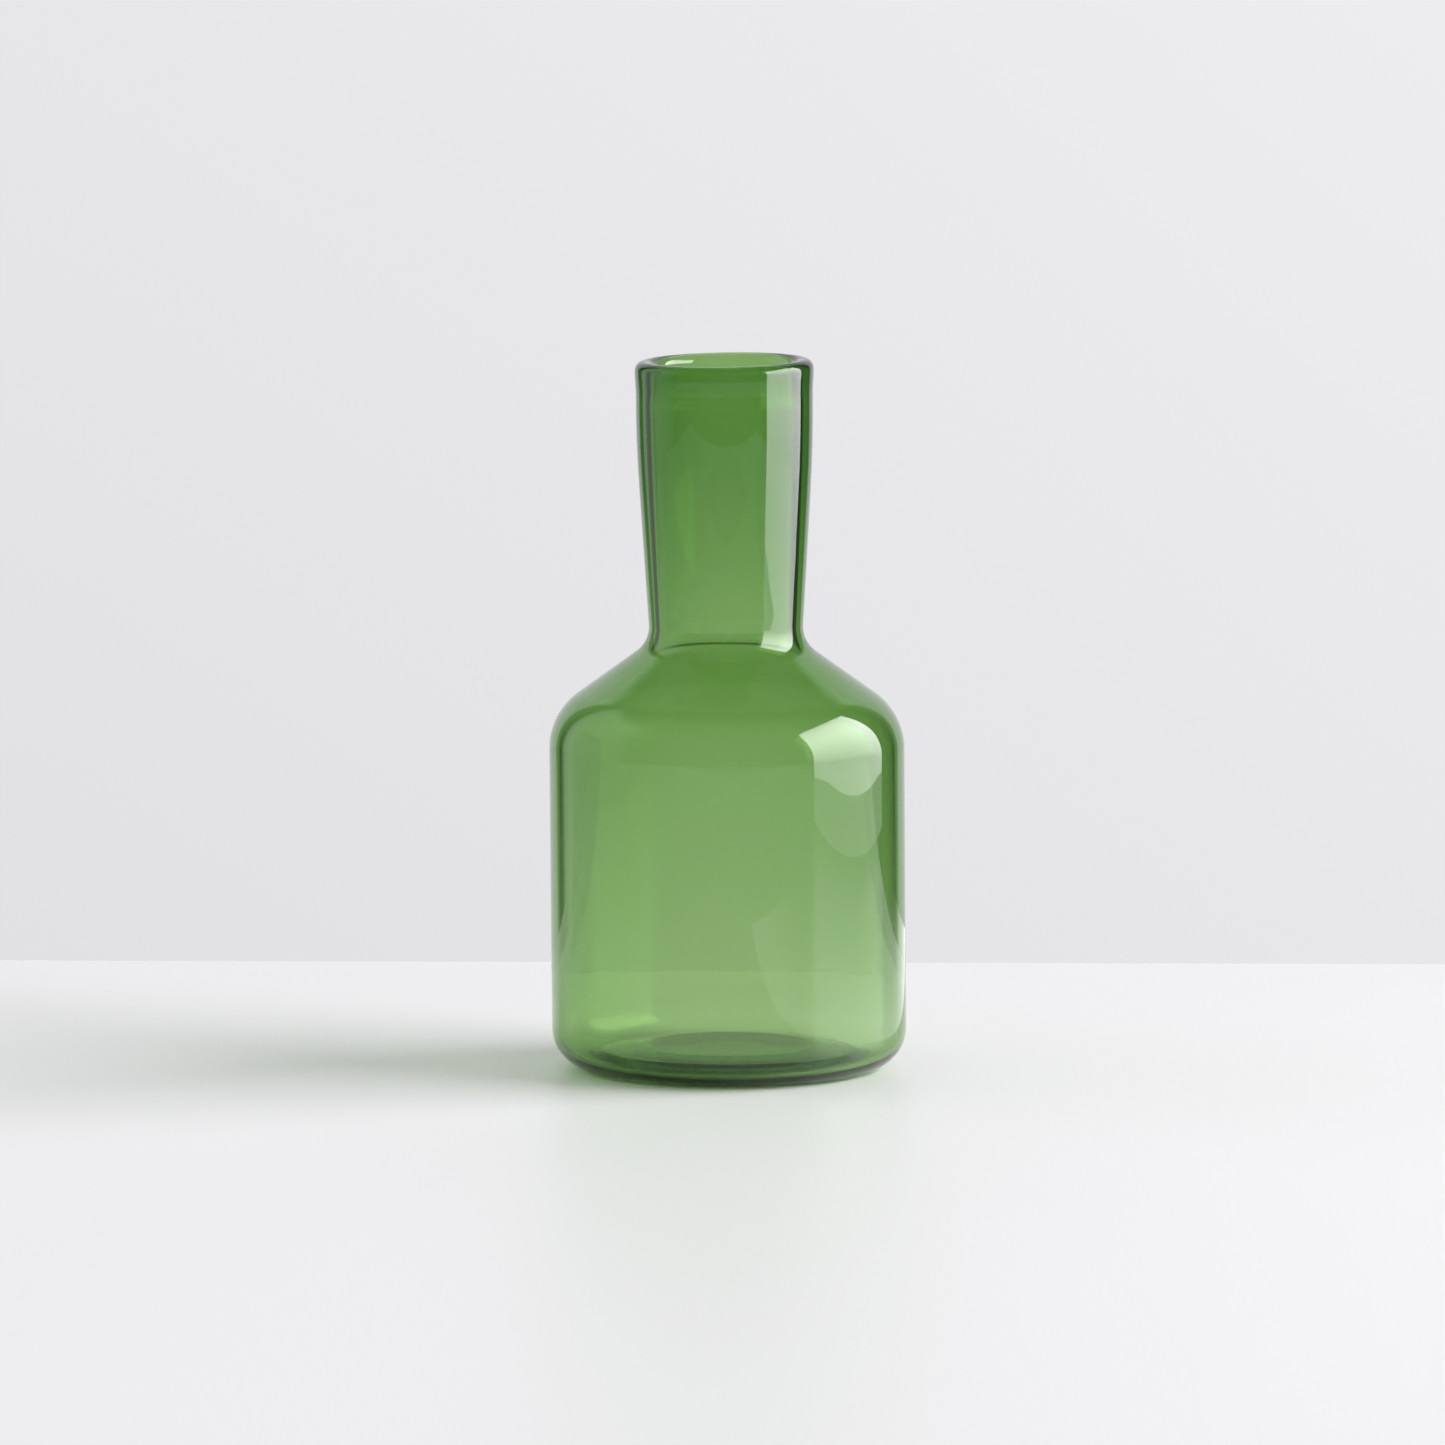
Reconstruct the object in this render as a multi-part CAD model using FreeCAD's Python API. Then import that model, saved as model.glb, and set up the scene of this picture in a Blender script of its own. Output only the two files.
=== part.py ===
"""Green glass table carafe: one hollow piece of hot-formed glass.

A straight-sided body, a sloping shoulder and a wide neck that opens slightly upwards to a
fire-polished lip. Millimetres, +Z up, origin at the centre of the base on the table plane.
"""
import FreeCAD, Part
import math
import os

# Outside of the glass
HEIGHT = 210.0
BODY_RADIUS = 52.5
BASE_CORNER = 12.0            # radius where the wall turns under to the base
WALL_TOP = 105.3              # where the wall and the shoulder cone would meet if left sharp
SHOULDER_ROUND = 20.0
SHOULDER_SLOPE = 35.5         # degrees below the horizontal
NECK_ROOT_RADIUS = 22.5       # where the shoulder cone and the neck would meet if left sharp
NECK_ROOT_ROUND = 9.2
NECK_TAPER = 3.5              # degrees that each side of the neck leans outwards
NECK_TOP_RADIUS = 26.1
NECK_SWEEP = 400.0            # long arc from the leaning neck to the upright one
LIP_RADIUS = 26.35

# Thickness of the glass: the wall of the body thins a little on its way down
BODY_WALL_HIGH = 3.5
BODY_WALL_LOW = 2.4
SHOULDER_WALL = 3.5
NECK_ROOT_WALL = 3.4
NECK_TOP_WALL = 4.9
MOUTH_RADIUS = 20.6

# Lip bead, as depths below the top
LIP_ROUND = 2.7               # the top edge is almost a half circle
MOUTH_LAND = 4.0              # straight stretch inside the mouth, below the rounding
BEAD_FULL = 4.4
BEAD_END = 9.0
BEAD_BLEND = 5.0

# Underside: a flat ring to stand on, a small step up, and a shallow push-up inside it
REST_RING_RADIUS = 36.5
STEP_RADIUS = 33.5
STEP_LEVEL = 1.6
STEP_ROUND = 3.0
PUSH_UP = 3.2
PUSH_UP_FLAT = 12.0           # radius of the flat middle of the push-up
PUSH_UP_ROUND = 60.0

# Inside floor: a valley that follows the base corner, a short rise, and a plate with a low crown
VALLEY_LEVEL = 3.4
VALLEY_CORNER = 8.0
VALLEY_RADIUS = 41.0          # where the floor of the valley meets the rise
VALLEY_ROUND = 3.0
PLATE_RADIUS = 38.0
PLATE_LEVEL = 5.8
PLATE_ROUND = 3.0
CROWN_RADIUS = 25.0
CROWN_LEVEL = 7.2
CROWN_ROUND = 3.0


def cone_level(radius):
    """Height of the outer shoulder cone at a radius."""
    return WALL_TOP + (BODY_RADIUS - radius) * math.tan(math.radians(SHOULDER_SLOPE))


def inner_cone_level(radius):
    """Height of the inner shoulder cone, which lies parallel to the outer one."""
    return cone_level(radius) - SHOULDER_WALL / math.cos(math.radians(SHOULDER_SLOPE))


def underside():
    """Corners of the base, from the axis out: each is (radius, height, rounding)."""
    return [(0.0, PUSH_UP, 0.0),
            (PUSH_UP_FLAT, PUSH_UP, PUSH_UP_ROUND),
            (STEP_RADIUS, STEP_LEVEL, STEP_ROUND),
            (REST_RING_RADIUS, 0.0, STEP_ROUND),
            (BODY_RADIUS, 0.0, BASE_CORNER)]


def outer_wall():
    """Corners of the wall, shoulder and neck, going up."""
    root_level = cone_level(NECK_ROOT_RADIUS)
    lean = math.tan(math.radians(NECK_TAPER))
    upright_level = root_level + (NECK_TOP_RADIUS - NECK_ROOT_RADIUS) / lean
    return [(BODY_RADIUS, WALL_TOP, SHOULDER_ROUND),
            (NECK_ROOT_RADIUS, root_level, NECK_ROOT_ROUND),
            (NECK_TOP_RADIUS, upright_level, NECK_SWEEP)]


def lip():
    """Corners of the thickened, fire-polished lip, over the top and down inside."""
    return [(NECK_TOP_RADIUS, HEIGHT - BEAD_END, BEAD_BLEND),
            (LIP_RADIUS, HEIGHT - BEAD_FULL, BEAD_BLEND),
            (LIP_RADIUS, HEIGHT, LIP_ROUND),
            (MOUTH_RADIUS, HEIGHT, LIP_ROUND),
            (MOUTH_RADIUS, HEIGHT - LIP_ROUND - MOUTH_LAND, BEAD_BLEND)]


def inner_wall():
    """Corners of the inside of the neck, shoulder and wall, going down to the floor."""
    root_radius = NECK_ROOT_RADIUS - NECK_ROOT_WALL
    high_radius = BODY_RADIUS - BODY_WALL_HIGH
    low_radius = BODY_RADIUS - BODY_WALL_LOW
    return [(NECK_TOP_RADIUS - NECK_TOP_WALL, HEIGHT - BEAD_END - MOUTH_LAND, BEAD_BLEND),
            (root_radius, inner_cone_level(root_radius), NECK_ROOT_ROUND + NECK_ROOT_WALL),
            (high_radius, inner_cone_level(high_radius), SHOULDER_ROUND - BODY_WALL_HIGH),
            (low_radius, VALLEY_LEVEL, VALLEY_CORNER)]


def floor():
    """Corners of the inside floor, back to the axis."""
    return [(VALLEY_RADIUS, VALLEY_LEVEL, VALLEY_ROUND),
            (PLATE_RADIUS, PLATE_LEVEL, PLATE_ROUND),
            (CROWN_RADIUS, CROWN_LEVEL, CROWN_ROUND),
            (0.0, CROWN_LEVEL, 0.0)]


def rounded_edges(corners):
    """Straight lines between the corners, with a tangent arc of its own radius at each."""
    points = [FreeCAD.Vector(radius, 0.0, level) for radius, level, _ in corners]
    edges = []
    start = points[0]
    for before, corner, after, rounding in zip(points, points[1:], points[2:],
                                               [c[2] for c in corners[1:]]):
        back = (before - corner).normalize()
        ahead = (after - corner).normalize()
        half_turn = (math.pi - back.getAngle(ahead)) / 2.0
        reach = rounding * math.tan(half_turn)
        arc_start = corner + back * reach
        arc_end = corner + ahead * reach
        towards_centre = (back + ahead).normalize()
        arc_middle = corner + towards_centre * rounding * (1.0 / math.cos(half_turn) - 1.0)
        edges.append(Part.LineSegment(start, arc_start).toShape())
        edges.append(Part.Arc(arc_start, arc_middle, arc_end).toShape())
        start = arc_end
    edges.append(Part.LineSegment(start, points[-1]).toShape())
    return edges


def turned(corners):
    """The closed solid that an outline sweeps round the vertical axis."""
    edges = rounded_edges(corners)
    top = FreeCAD.Vector(0.0, 0.0, corners[-1][1])
    bottom = FreeCAD.Vector(0.0, 0.0, corners[0][1])
    edges.append(Part.LineSegment(top, bottom).toShape())
    face = Part.Face(Part.Wire(Part.__sortEdges__(edges)))
    solid = face.revolve(FreeCAD.Vector(0, 0, 0), FreeCAD.Vector(0, 0, 1), 360)
    return solid if solid.Volume > 0 else solid.reversed()


def carafe():
    """The whole glass: base, wall, neck and lip outside, then the inside back to the axis."""
    return turned(underside() + outer_wall() + lip() + inner_wall() + floor())


def brimful():
    """What the carafe holds, filled to the top edge."""
    brim = [(0.0, HEIGHT, 0.0), (MOUTH_RADIUS, HEIGHT, 0.001)]
    mouth = [(MOUTH_RADIUS, HEIGHT - LIP_ROUND - MOUTH_LAND, BEAD_BLEND)]
    return turned(brim + mouth + inner_wall() + floor())


os.makedirs("parts", exist_ok=True)
glass = carafe()
glass.exportStep("parts/glass_carafe.step")
print("glass_carafe: valid", glass.isValid(), "solids", len(glass.Solids))
print("glass volume cm3", round(glass.Volume / 1000.0, 1))
print("holds to the brim, cm3", round(brimful().Volume / 1000.0, 0))
print("box mm", [round(v, 2) for v in (glass.BoundBox.XLength, glass.BoundBox.YLength,
                                       glass.BoundBox.ZMin, glass.BoundBox.ZMax)])
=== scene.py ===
# %% [markdown]
# # A green glass carafe, from its section to a studio
# The real object is one piece of hot-formed glass: a straight round body, a sloping shoulder and a
# wide neck with a fire-polished lip. All of it is round, so one outline turned about one axis makes
# it. This lesson draws that outline, spins it into a closed solid, gives the glass its colour by
# depth and not by paint, and sets it on a table in a plain studio.

# %% Load the frame
import bpy
import bmesh
import math
from mathutils import Vector, Matrix


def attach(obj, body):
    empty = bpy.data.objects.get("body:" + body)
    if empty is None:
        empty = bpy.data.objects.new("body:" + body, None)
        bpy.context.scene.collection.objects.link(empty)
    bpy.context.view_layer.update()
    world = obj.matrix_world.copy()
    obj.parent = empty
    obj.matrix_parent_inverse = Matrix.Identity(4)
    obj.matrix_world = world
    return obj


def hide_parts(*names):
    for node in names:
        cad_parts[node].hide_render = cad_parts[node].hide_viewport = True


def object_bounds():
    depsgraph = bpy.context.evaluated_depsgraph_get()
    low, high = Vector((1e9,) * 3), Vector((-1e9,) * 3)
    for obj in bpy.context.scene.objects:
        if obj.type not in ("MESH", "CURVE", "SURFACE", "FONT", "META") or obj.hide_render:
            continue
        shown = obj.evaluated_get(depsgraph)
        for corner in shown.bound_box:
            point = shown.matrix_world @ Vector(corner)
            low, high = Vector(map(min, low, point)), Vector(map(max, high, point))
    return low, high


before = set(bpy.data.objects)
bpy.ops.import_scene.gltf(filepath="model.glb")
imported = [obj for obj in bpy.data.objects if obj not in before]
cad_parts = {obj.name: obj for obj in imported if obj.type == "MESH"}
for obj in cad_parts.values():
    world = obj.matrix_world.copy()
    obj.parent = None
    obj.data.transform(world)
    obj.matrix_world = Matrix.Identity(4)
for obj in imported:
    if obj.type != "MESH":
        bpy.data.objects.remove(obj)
cad_low, cad_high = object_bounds()
MM = 0.001
print("CAD box in mm:", [round(v / MM, 1) for v in (cad_high - cad_low)])

# %% [markdown]
# ## The outside of the glass
# The outside is a short list of straight lines with a round at each corner. The height and the
# body's radius come from the frame, and the rest are in millimetres. The neck opens a little on
# its way up and straightens on a long arc.

# %% Outside sizes
HEIGHT = cad_high.z / MM
BODY_RADIUS = cad_high.x / MM
BASE_CORNER = 12.0
WALL_TOP = 105.3
SHOULDER_ROUND = 20.0
SHOULDER_SLOPE = math.radians(35.5)
NECK_ROOT_RADIUS = 22.5
NECK_ROOT_ROUND = 9.2
NECK_TAPER = math.radians(3.5)
NECK_TOP_RADIUS = 26.1
NECK_SWEEP = 400.0
print("outside, mm: height", round(HEIGHT, 1), "body radius", round(BODY_RADIUS, 1))

# %% [markdown]
# ## The thickness of the glass and the lip
# The inside is an outline of its own, because the thickness changes: thin low on the body, thicker
# on the shoulder, and thickest at the top of the neck. The thickness sets how deep the green looks
# and how wide the dark edge lines are, so it has to be real geometry. The lip is a slight bead,
# rounded over by the flame.

# %% Wall and lip sizes
BODY_WALL_HIGH = 3.5
BODY_WALL_LOW = 2.4
SHOULDER_WALL = 3.5
NECK_ROOT_WALL = 3.4
NECK_TOP_WALL = 4.9
LIP_RADIUS = 26.35
MOUTH_RADIUS = 20.6
LIP_ROUND = 2.7
MOUTH_LAND = 4.0
BEAD_FULL = 4.4
BEAD_END = 9.0
BEAD_BLEND = 5.0
print("glass across the lip, mm:", round(LIP_RADIUS - MOUTH_RADIUS, 2))

# %% [markdown]
# ## The base, under and inside
# Underneath is a flat ring to stand on, a step and a shallow push-up. Inside, a valley follows the
# base corner, a short rise ends it, and a plate with a low crown fills the middle. The rings seen
# through the wall are these edges, bent by the glass.

# %% Base sizes
REST_RING_RADIUS = 36.5
STEP_RADIUS = 33.5
STEP_LEVEL = 1.6
STEP_ROUND = 3.0
PUSH_UP = 3.2
PUSH_UP_FLAT = 12.0
PUSH_UP_ROUND = 60.0
VALLEY_LEVEL = 3.4
VALLEY_CORNER = 8.0
VALLEY_RADIUS = 41.0
VALLEY_ROUND = 3.0
PLATE_RADIUS = 38.0
PLATE_LEVEL = 5.8
PLATE_ROUND = 3.0
CROWN_RADIUS = 25.0
CROWN_LEVEL = 7.2
CROWN_ROUND = 3.0
print("glass at the middle of the base, mm:", round(CROWN_LEVEL - PUSH_UP, 1))


# %% The corners of the outline
def cone_level(radius):
    """Height of the outer shoulder cone at a radius."""
    return WALL_TOP + (BODY_RADIUS - radius) * math.tan(SHOULDER_SLOPE)


def inner_cone_level(radius):
    """Height of the inner shoulder cone, parallel to the outer one."""
    return cone_level(radius) - SHOULDER_WALL / math.cos(SHOULDER_SLOPE)


inner_root = NECK_ROOT_RADIUS - NECK_ROOT_WALL
inner_high = BODY_RADIUS - BODY_WALL_HIGH
inner_low = BODY_RADIUS - BODY_WALL_LOW
neck_rise = (NECK_TOP_RADIUS - NECK_ROOT_RADIUS) / math.tan(NECK_TAPER)
underside = [(0.0, PUSH_UP, 0.0),
             (PUSH_UP_FLAT, PUSH_UP, PUSH_UP_ROUND),
             (STEP_RADIUS, STEP_LEVEL, STEP_ROUND),
             (REST_RING_RADIUS, 0.0, STEP_ROUND),
             (BODY_RADIUS, 0.0, BASE_CORNER)]
outer_wall = [(BODY_RADIUS, WALL_TOP, SHOULDER_ROUND),
              (NECK_ROOT_RADIUS, cone_level(NECK_ROOT_RADIUS), NECK_ROOT_ROUND),
              (NECK_TOP_RADIUS, cone_level(NECK_ROOT_RADIUS) + neck_rise, NECK_SWEEP)]
lip = [(NECK_TOP_RADIUS, HEIGHT - BEAD_END, BEAD_BLEND),
       (LIP_RADIUS, HEIGHT - BEAD_FULL, BEAD_BLEND),
       (LIP_RADIUS, HEIGHT, LIP_ROUND),
       (MOUTH_RADIUS, HEIGHT, LIP_ROUND),
       (MOUTH_RADIUS, HEIGHT - LIP_ROUND - MOUTH_LAND, BEAD_BLEND)]
inner_wall = [(NECK_TOP_RADIUS - NECK_TOP_WALL, HEIGHT - BEAD_END - MOUTH_LAND, BEAD_BLEND),
              (inner_root, inner_cone_level(inner_root), NECK_ROOT_ROUND + NECK_ROOT_WALL),
              (inner_high, inner_cone_level(inner_high), SHOULDER_ROUND - BODY_WALL_HIGH),
              (inner_low, VALLEY_LEVEL, VALLEY_CORNER)]
floor = [(VALLEY_RADIUS, VALLEY_LEVEL, VALLEY_ROUND),
         (PLATE_RADIUS, PLATE_LEVEL, PLATE_ROUND),
         (CROWN_RADIUS, CROWN_LEVEL, CROWN_ROUND),
         (0.0, CROWN_LEVEL, 0.0)]
section = underside + outer_wall + lip + inner_wall + floor
print("corners in the outline:", len(section))

# %% [markdown]
# ## Drawing the outline
# One vertex works as a pen. Along a straight run it is extruded in short steps, and at each corner
# it is spun about the corner's centre, which gives an arc that meets both runs smoothly. A bezier
# could draw the same line, but then the radii would be guesses.

# %% A pen that draws lines and arcs
LINE_STEP = 5.0
ARC_STEP = math.radians(3.0)
FEWEST_ARC_STEPS = 4


def draw_line(mesh, pen, goal):
    """Extrudes the pen's vertex to the goal in short steps and returns the last vertex."""
    reach = goal - pen.co
    count = max(1, math.ceil(reach.length / (LINE_STEP * MM)))
    for _ in range(count):
        grown = bmesh.ops.extrude_vert_indiv(mesh, verts=[pen])["verts"][0]
        grown.co = pen.co + reach / count
        pen = grown
    return pen


def draw_arc(mesh, pen, centre, turn):
    """Spins the pen's vertex about an arc's centre and returns the last vertex."""
    steps = max(FEWEST_ARC_STEPS, math.ceil(abs(turn) / ARC_STEP))
    grown = bmesh.ops.spin(mesh, geom=[pen], cent=centre, axis=(0, 1, 0), angle=turn, steps=steps,
                           use_merge=False)
    return next(v for v in grown["geom_last"] if isinstance(v, bmesh.types.BMVert))


# %% The whole outline
def draw_section(mesh, corners):
    """Draws every run of the outline, with a tangent arc at each corner between two runs."""
    points = [Vector((radius, 0.0, level)) * MM for radius, level, _ in corners]
    roundings = [rounding * MM for _, _, rounding in corners[1:]]
    pen = mesh.verts.new(points[0])
    for before, corner, after, rounding in zip(points, points[1:], points[2:], roundings):
        run_in = (corner - before).normalized()
        run_out = (after - corner).normalized()
        turn = run_in.angle(run_out)
        side = 1.0 if run_in.cross(run_out).y > 0 else -1.0
        start = corner - run_in * rounding * math.tan(turn / 2.0)
        pen = draw_line(mesh, pen, start)
        centre = start + Vector((run_in.z, 0.0, -run_in.x)) * side * rounding
        pen = draw_arc(mesh, pen, centre, side * turn)
    draw_line(mesh, pen, points[-1])


glass_mesh = bmesh.new()
draw_section(glass_mesh, section)
print("points along the outline:", len(glass_mesh.verts))

# %% [markdown]
# ## One turn about the axis
# The outline starts and ends on the axis, so a full turn closes it into a solid with an inside and
# an outside. Its two end points come out once for each step of the turn and are merged into one
# pole each. Glass bends light by its normals, so the turn has many steps and the shading is smooth.

# %% Spin the glass
TURN_STEPS = 256
ON_THE_AXIS = 0.001
POLE_MERGE = 0.002
bmesh.ops.spin(glass_mesh, geom=glass_mesh.verts[:] + glass_mesh.edges[:], cent=(0, 0, 0),
               axis=(0, 0, 1), angle=math.tau, steps=TURN_STEPS, use_merge=True)
poles = [v for v in glass_mesh.verts if v.co.xy.length < ON_THE_AXIS * MM]
bmesh.ops.remove_doubles(glass_mesh, verts=poles, dist=POLE_MERGE * MM)
bmesh.ops.recalc_face_normals(glass_mesh, faces=glass_mesh.faces[:])
print("open edges:", sum(1 for e in glass_mesh.edges if not e.is_manifold))

# %% [markdown]
# ## What the hand left
# A hand-finished piece is never quite true. This one leans a little to the left above a level base,
# and its lip is a little out of level. Both are small moves of the finished mesh: they grow with
# height, so the ring that it stands on stays flat.

# %% Lean the glass and tilt the lip
LEAN = math.radians(0.42)
LEAN_FULL_ABOVE = 30.0
TILT_STARTS = 150.0
RISE_TO_THE_RIGHT = math.radians(1.0)
RISE_TO_THE_BACK = math.radians(1.3)
for vertex in glass_mesh.verts:
    rise = vertex.co.z
    vertex.co.x -= rise * math.tan(LEAN) * min(1.0, rise / (LEAN_FULL_ABOVE * MM))
    share = max(0.0, (rise / MM - TILT_STARTS) / (HEIGHT - TILT_STARTS)) ** 2
    slope = vertex.co.x * math.tan(RISE_TO_THE_RIGHT) + vertex.co.y * math.tan(RISE_TO_THE_BACK)
    vertex.co.z += share * slope
print("glass in cm3:", round(glass_mesh.calc_volume(signed=True) * 1e6, 1))

# %% Keep the carafe as a piece
for face in glass_mesh.faces:
    face.smooth = True
carafe_data = bpy.data.meshes.new("carafe")
glass_mesh.to_mesh(carafe_data)
glass_mesh.free()
carafe = bpy.data.objects.new("carafe", carafe_data)
bpy.context.collection.objects.link(carafe)
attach(carafe, "root")
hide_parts("glass_carafe")
print("triangles:", sum(len(p.vertices) - 2 for p in carafe_data.polygons))


# %% [markdown]
# ## Colours and nodes
# Colours are written as on a screen, in sRGB, and the renderer works in linear light, so one
# function turns the first into the second. Another adds a node, so that a material reads as a list
# of what is set and what is joined to what. Some nodes have several sockets of one name, and there
# a number says which one is meant.

# %% Helpers for colours and nodes
def linear(code):
    """An sRGB hex colour as linear RGBA."""
    channels = [int(code[i:i + 2], 16) / 255.0 for i in (1, 3, 5)]
    return tuple(c / 12.92 if c <= 0.04045 else ((c + 0.055) / 1.055) ** 2.4
                 for c in channels) + (1.0,)


def add_node(tree, kind, settings=None, links=None):
    """Adds a node, sets its sockets or properties, and links other nodes' outputs to its sockets."""
    node = tree.nodes.new(kind)
    for name, value in (settings or {}).items():
        if isinstance(name, int) or name in node.inputs:
            node.inputs[name].default_value = value
        else:
            setattr(node, name, value)
    for name, output in (links or {}).items():
        tree.links.new(output, node.inputs[name])
    return node


def new_material(name):
    """A material with an empty node tree."""
    material = bpy.data.materials.new(name)
    material.use_nodes = True
    material.node_tree.nodes.clear()
    return material


# %% [markdown]
# ## Green glass
# The real one is soda-lime glass coloured green all through. Its surface is fire-polished, so it is
# as smooth as glass gets and has no roughness, and its index of refraction is near 1.5. The green is
# not on the surface: light loses red and blue for every millimetre it travels inside, which is why
# thick places and edges are darker. So the surface stays clear and the volume absorbs. Its density
# is worked out from the shares of light that are left after one known thickness.

# %% The glass material
TINT_DEPTH = 3.2
# Shares of red, green and blue light, not a colour on a screen, so they are not a hex code.
TINT_LEFT = (0.490, 0.682, 0.358)
CLEAR = "#ffffff"
SODA_LIME_IOR = 1.5
glass = new_material("green_soda_lime_glass")
surface = add_node(glass.node_tree, "ShaderNodeBsdfPrincipled",
                   {"Base Color": linear(CLEAR), "Roughness": 0.0, "IOR": SODA_LIME_IOR,
                    "Transmission Weight": 1.0})
losses = [-math.log(share) / (TINT_DEPTH * MM) for share in TINT_LEFT]
densest = max(losses)
inside = add_node(glass.node_tree, "ShaderNodeVolumeAbsorption",
                  {"Color": tuple(1.0 - loss / densest for loss in losses) + (1.0,),
                   "Density": densest})
add_node(glass.node_tree, "ShaderNodeOutputMaterial", None,
         {"Surface": surface.outputs["BSDF"], "Volume": inside.outputs["Volume"]})
carafe_data.materials.append(glass)
print("loss per metre, red green blue:", [round(loss) for loss in losses])

# %% [markdown]
# ## The table
# The carafe stands on a white table whose far edge is in view behind it. The edge also shows inside
# the glass, as the line across the lower body, so its place matters. The top is a hair below the
# glass, so that the two surfaces do not share one plane.

# %% The table top
TABLE_WIDTH = 2.6
TABLE_DEPTH = 1.6
TABLE_THICK = 0.03
TABLE_BACK = 0.225
TABLE_GAP = 0.00005
TABLE_TURN = math.radians(-1.1)
table_mesh = bmesh.new()
bmesh.ops.create_cube(table_mesh, size=1.0)
bmesh.ops.scale(table_mesh, vec=(TABLE_WIDTH, TABLE_DEPTH, TABLE_THICK), verts=table_mesh.verts[:])
bmesh.ops.translate(table_mesh, vec=(0.0, TABLE_BACK - TABLE_DEPTH / 2, -TABLE_THICK / 2 - TABLE_GAP),
                    verts=table_mesh.verts[:])
bmesh.ops.rotate(table_mesh, cent=(0, TABLE_BACK, 0), matrix=Matrix.Rotation(TABLE_TURN, 3, "Z"),
                 verts=table_mesh.verts[:])
table_data = bpy.data.meshes.new("table")
table_mesh.to_mesh(table_data)
table_mesh.free()
table = bpy.data.objects.new("table", table_data)
bpy.context.collection.objects.link(table)
print("table, m:", TABLE_WIDTH, "by", TABLE_DEPTH)

# %% [markdown]
# ## White laminate
# The table is white laminate with a satin, finely pebbled surface. The satin gives a wide, soft
# brightening towards the light and no mirror image. The pebbles are about 0.7 mm across and a few
# hundredths of a millimetre deep, so they only break up the shading, and a bump is enough.

# %% The table material
PEBBLE = 1 / 1400
board = new_material("satin_laminate")
place = add_node(board.node_tree, "ShaderNodeTexCoord")
pebbles = add_node(board.node_tree, "ShaderNodeTexNoise",
                   {"Scale": 1 / PEBBLE, "Detail": 2.0, "Roughness": 0.6},
                   {"Vector": place.outputs["Object"]})
pebbled = add_node(board.node_tree, "ShaderNodeBump", {"Strength": 0.5, "Distance": 0.00006},
                   {"Height": pebbles.outputs["Fac"]})
satin = add_node(board.node_tree, "ShaderNodeBsdfPrincipled",
                 {"Base Color": linear("#ecebed"), "Roughness": 0.42},
                 {"Normal": pebbled.outputs["Normal"]})
add_node(board.node_tree, "ShaderNodeOutputMaterial", None, {"Surface": satin.outputs["BSDF"]})
table_data.materials.append(board)
print("pebbles across, mm:", round(PEBBLE / MM, 2))

# %% [markdown]
# ## The walls of the studio
# Glass has almost no look of its own: it shows what stands round it. So the studio is drawn as a
# band of greys round the horizon. A pale wall is behind the carafe, a little brighter to the right.
# Dark gaps on both sides of it draw the dark edge lines of the glass, and a bright wall stands on
# the left. Above is a dim ceiling, and far below a pale floor.

# %% The greys round the horizon
FRONT, SIDE, DARK = "#a0a0a1", "#f3f3f4", "#616162"
WALL_LEFT, WALL_MIDDLE, WALL_RIGHT = "#e7e7e9", "#eaeaec", "#eeeef0"
CEILING, FLOOR = "#7c7c7d", "#e0e0e0"
NONE, ALL = "#000000", "#ffffff"
WALL_FOOT = "#f7f7f7"
walls = [(-180, FRONT), (-115, FRONT), (-95, SIDE), (-49, SIDE), (-45, DARK), (-36, DARK),
         (-32, WALL_LEFT), (-5, WALL_LEFT), (0, WALL_MIDDLE), (5, WALL_RIGHT), (32, WALL_RIGHT),
         (36, DARK), (66, DARK), (125, FRONT)]
print("stops round the horizon:", len(walls))


# %% A ramp through colours
def ramp_of(tree, source, stops):
    """A colour ramp through (position, colour) stops."""
    ramp = add_node(tree, "ShaderNodeValToRGB", None, {"Fac": source})
    elements = ramp.color_ramp.elements
    while len(elements) < len(stops):
        elements.new(0.5)
    for element, (position, code) in zip(elements, stops):
        element.position = position
        element.color = linear(code)
    return ramp.outputs["Color"]


# %% The band of walls
# The angle of X against Y is the bearing from straight behind the carafe, as a share of a full turn.
world = bpy.data.worlds.new("studio")
bpy.context.scene.world = world
world.use_nodes = True
sky = world.node_tree
sky.nodes.clear()
direction = add_node(sky, "ShaderNodeTexCoord")
axes = add_node(sky, "ShaderNodeSeparateXYZ", None, {"Vector": direction.outputs["Generated"]})
bearing = add_node(sky, "ShaderNodeMath", {"operation": "ARCTAN2"},
                   {0: axes.outputs["X"], 1: axes.outputs["Y"]})
turn_share = add_node(sky, "ShaderNodeMath", {"operation": "MULTIPLY_ADD", 1: 1 / math.tau, 2: 0.5},
                      {0: bearing.outputs["Value"]})
around = ramp_of(sky, turn_share.outputs["Value"], [(0.5 + b / 360, code) for b, code in walls])
height_share = add_node(sky, "ShaderNodeMath", {"operation": "MULTIPLY_ADD", 1: 0.5, 2: 0.5},
                        {0: axes.outputs["Z"]})
print("nodes in the walls:", len(sky.nodes))


# %% Ceiling and floor
# The mix node has a socket of each name for every kind of value, and these are the colour ones.
MIX_FACTOR, MIX_A, MIX_B, MIX_RESULT = 0, 6, 7, 2


def level(degrees):
    """Where an angle above the horizon falls on a ramp from straight down to straight up."""
    return 0.5 + 0.5 * math.sin(math.radians(degrees))


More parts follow.
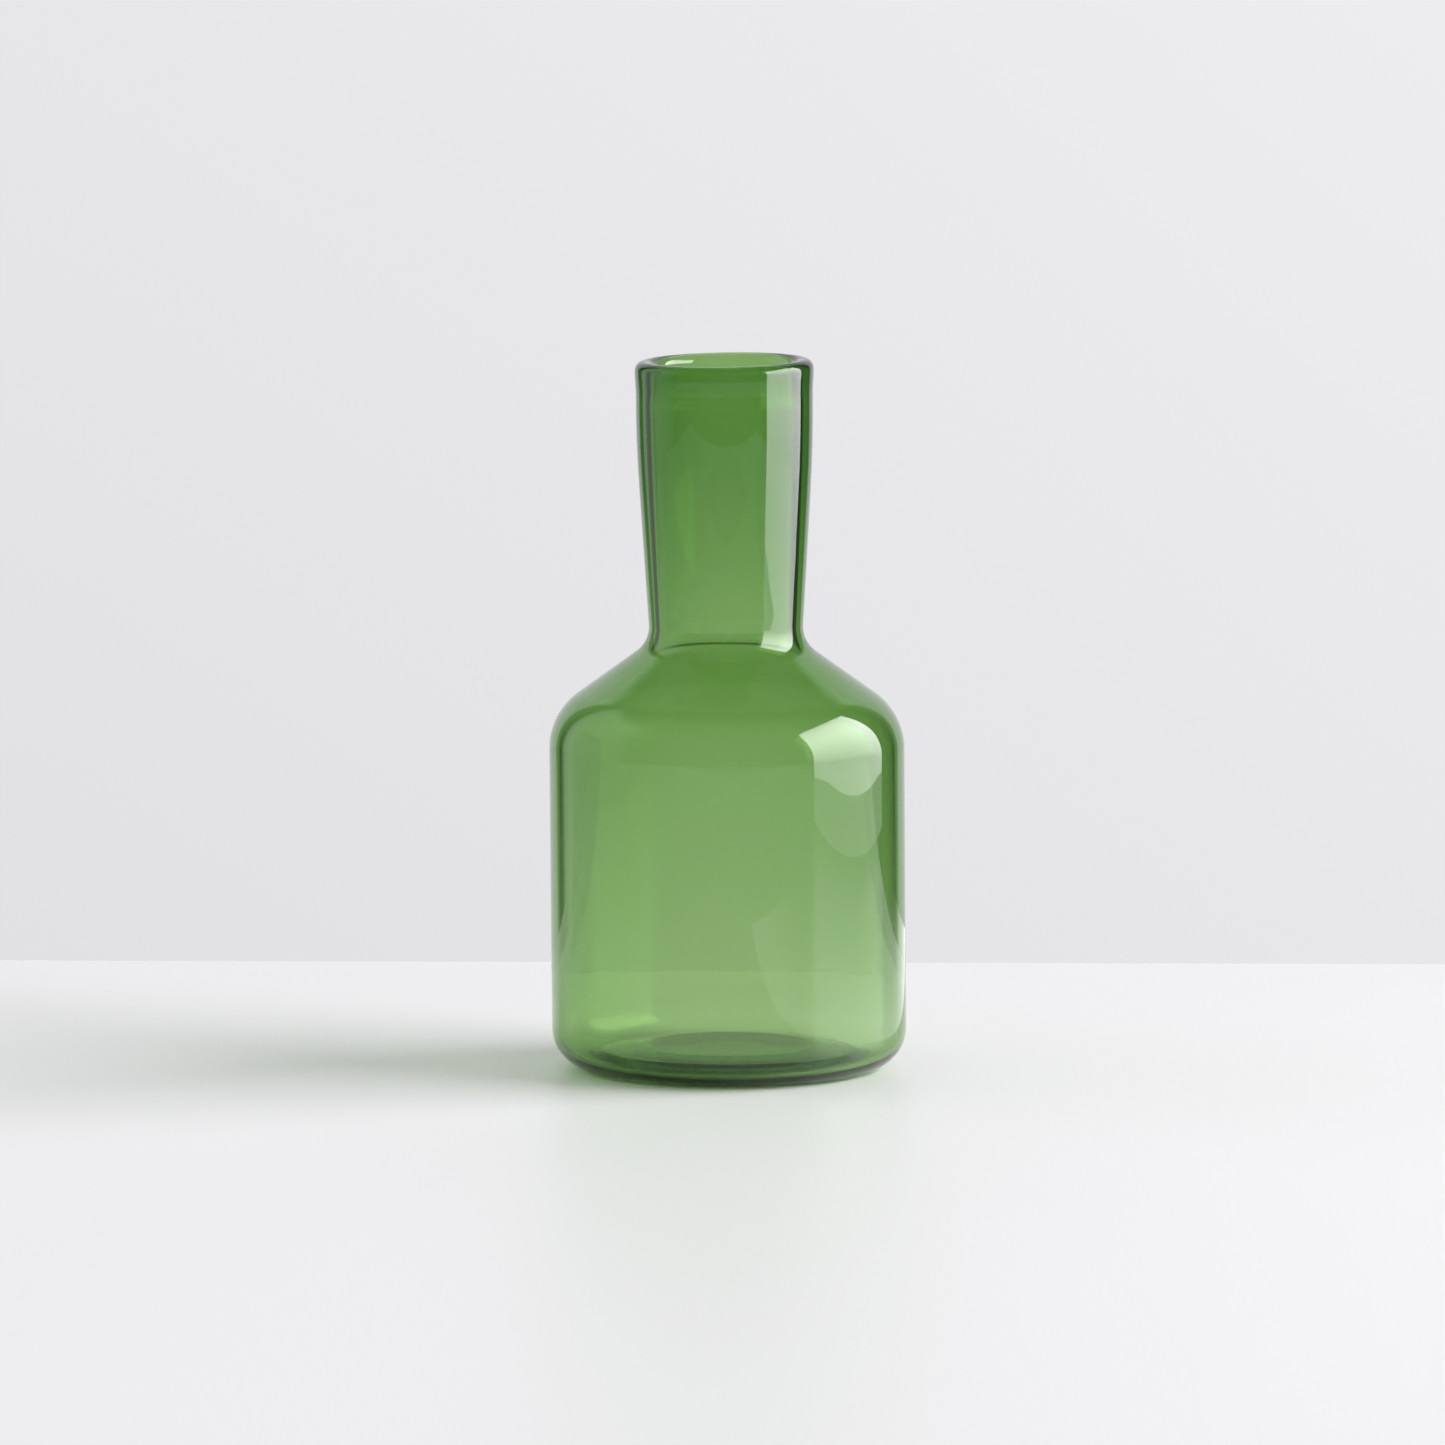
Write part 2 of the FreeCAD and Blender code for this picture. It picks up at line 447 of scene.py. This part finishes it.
up = height_share.outputs["Value"]
overhead = ramp_of(sky, up, [(level(44), NONE), (level(52), ALL)])
underfoot = ramp_of(sky, up, [(level(-17), ALL), (level(-13), NONE)])
sinking = ramp_of(sky, up, [(level(-9), WALL_FOOT), (level(-1), ALL)])
shaded = add_node(sky, "ShaderNodeMix",
                  {"data_type": "RGBA", "blend_type": "MULTIPLY", MIX_FACTOR: 1.0},
                  {MIX_A: around, MIX_B: sinking})
roofed = add_node(sky, "ShaderNodeMix", {"data_type": "RGBA", MIX_B: linear(CEILING)},
                  {MIX_FACTOR: overhead, MIX_A: shaded.outputs[MIX_RESULT]})
floored = add_node(sky, "ShaderNodeMix", {"data_type": "RGBA", MIX_B: linear(FLOOR)},
                   {MIX_FACTOR: underfoot, MIX_A: roofed.outputs[MIX_RESULT]})
glow = add_node(sky, "ShaderNodeBackground", {"Strength": 1.0},
                {"Color": floored.outputs[MIX_RESULT]})
add_node(sky, "ShaderNodeOutputWorld", None, {"Surface": glow.outputs["Background"]})
print("nodes in the studio:", len(sky.nodes))


# %% [markdown]
# ## One soft light, taken apart
# A large softbox stands close by on the right. Seen in the glass it has to be close, because its
# lower edge bends round the shoulder. But a close light makes the table bright on the right and dim
# on the left, and this table is even. So the light is taken apart by the rays that see it:
# reflections see a close one, and the table is lit by the same shape far away, through air and,
# more weakly, through the glass. This is not how a real studio works. It is a way to have both.

# %% A soft panel
def panel(name, centre, toward, width, height, radiance):
    """A rectangular soft light of a stated brightness that faces a point."""
    data = bpy.data.lights.new(name, "AREA")
    data.shape = "RECTANGLE"
    data.size, data.size_y = width, height
    data.energy = radiance * math.pi * width * height
    light = bpy.data.objects.new(name, data)
    bpy.context.collection.objects.link(light)
    light.location = centre
    light.rotation_euler = (Vector(toward) - Vector(centre)).to_track_quat("-Z", "Y").to_euler()
    return light


def seen_by(light, diffuse=False, glossy=False, transmission=False):
    """Shows a light only to the named kinds of ray, and never to the camera."""
    light.visible_camera = False
    light.visible_diffuse = diffuse
    light.visible_glossy = glossy
    light.visible_transmission = transmission


# %% A softbox that fades towards its foot
SOFTBOX_FADE = [(0.0, "#a8a8a8"), (0.06, "#b4b4b4"), (0.12, "#c4c4c4"), (0.35, "#e7e7e7"),
                (0.6, "#ffffff"), (0.95, "#e7e7e7"), (1.0, "#cbcbcb")]


def grade(light, along, stops, strength):
    """Lets a panel's brightness follow a ramp along one of its own two sides."""
    light.data.use_nodes = True
    tree = light.data.node_tree
    tree.nodes.clear()
    spot = add_node(tree, "ShaderNodeNewGeometry")
    sides = add_node(tree, "ShaderNodeSeparateXYZ", None, {"Vector": spot.outputs["Parametric"]})
    fade = ramp_of(tree, sides.outputs[along], stops)
    lamp = add_node(tree, "ShaderNodeEmission", {"Strength": strength}, {"Color": fade})
    add_node(tree, "ShaderNodeOutputLight", None, {"Surface": lamp.outputs["Emission"]})


def softbox(name, away, bottom, top, near, far, strength):
    """A standing soft light to the right, between two heights and two depths."""
    depth, height = (near + far) / 2, (bottom + top) / 2
    light = panel(name, (away, depth, height), (0.0, depth, height), far - near, top - bottom, 1.0)
    grade(light, "Y", SOFTBOX_FADE, strength)
    return light


# %% Where the softbox's edges are
EYE_HEIGHT = 0.1
TOP_ANGLE, NEAR_ANGLE, FAR_ANGLE = math.radians(46), math.radians(56), math.radians(26)


def softbox_edges(away):
    """Top, near and far edges that look the same from the carafe at any distance."""
    return (EYE_HEIGHT + away * math.tan(TOP_ANGLE), -away / math.tan(NEAR_ANGLE),
            away * math.tan(FAR_ANGLE))


print("top, near and far edges at 1 m:", [round(edge, 2) for edge in softbox_edges(1.0)])

# %% [markdown]
# ## What the glass reflects
# Three panels, which only reflections see: the close softbox, the dim strip under its lower edge,
# and the brighter stretch of table in front of it, which fades out towards the carafe.

# %% The close lights
CLOSE = 0.6
SILL_TOP = 0.022
top, near, far = softbox_edges(CLOSE)
middle = (near + far) / 2
shine = softbox("softbox", CLOSE, SILL_TOP, top, near, far, 10.0)
sill = panel("sill", (CLOSE, middle, SILL_TOP / 2), (0.0, middle, SILL_TOP / 2), far - near,
             SILL_TOP, 1.2)
SHEEN_LONG = 0.5
sheen_middle = CLOSE - SHEEN_LONG / 2
sheen = panel("sheen", (sheen_middle, middle, 0.0015), (sheen_middle, middle, 1.0), SHEEN_LONG,
              far - near, 1.0)
grade(sheen, "X", [(0.0, NONE), (0.5, NONE), (1.0, ALL)], 1.0)
for light in (shine, sill, sheen):
    seen_by(light, glossy=True)
print("close lights:", [light.name for light in (shine, sill, sheen)])

# %% [markdown]
# ## What lights the table
# The far softbox is two panels, one just in front of the other. Both light the table, and only the
# front one also shines through the glass, which gives the green in the shadow and keeps the
# reflection from the inside of the wall pale. A weak panel above fills the shadow.

# %% The far lights
DISTANT = 12.0
top, near, far = softbox_edges(DISTANT)
key = softbox("key", DISTANT, EYE_HEIGHT, top, near, far, 3.0)
seen_by(key, diffuse=True)
spill = softbox("spill", DISTANT - 0.1, EYE_HEIGHT, top, near, far, 5.5)
seen_by(spill, diffuse=True, transmission=True)
ceiling = panel("ceiling", (0.0, 0.0, 3.0), (0.0, 0.0, 0.0), 4.0, 4.0, 0.3)
seen_by(ceiling, diffuse=True)
print("far lights:", [light.name for light in (key, spill, ceiling)])

# %% [markdown]
# ## The camera
# The view is from a long way off with a long lens, a little above the carafe, so its sides stay
# almost parallel and the mouth shows as a thin ellipse. The standard view keeps whites as they are.
# Light crosses many surfaces in glass, so the number of bounces is high.

# %% Camera and rendering of glass
camera_data = bpy.data.cameras.new("camera")
camera_data.lens = 220.6
camera_data.sensor_width = 36.0
camera_data.clip_end = 20.0
camera = bpy.data.objects.new("camera", camera_data)
bpy.context.collection.objects.link(camera)
LOOKING_DOWN = 6.34
camera.location = (-0.002, -2.6, 0.3915)
camera.rotation_euler = (math.radians(90 - LOOKING_DOWN), 0, 0)
scene = bpy.context.scene
scene.camera = camera
scene.view_settings.view_transform = "Standard"
scene.view_settings.look = "None"
scene.cycles.max_bounces = 32
scene.cycles.transmission_bounces = 32
scene.cycles.glossy_bounces = 16
scene.cycles.transparent_max_bounces = 16
scene.cycles.caustics_refractive = True
scene.cycles.caustics_reflective = True
scene.cycles.use_denoising = True
scene.cycles.blur_glossy = 0.0
print("camera at", tuple(camera.location))
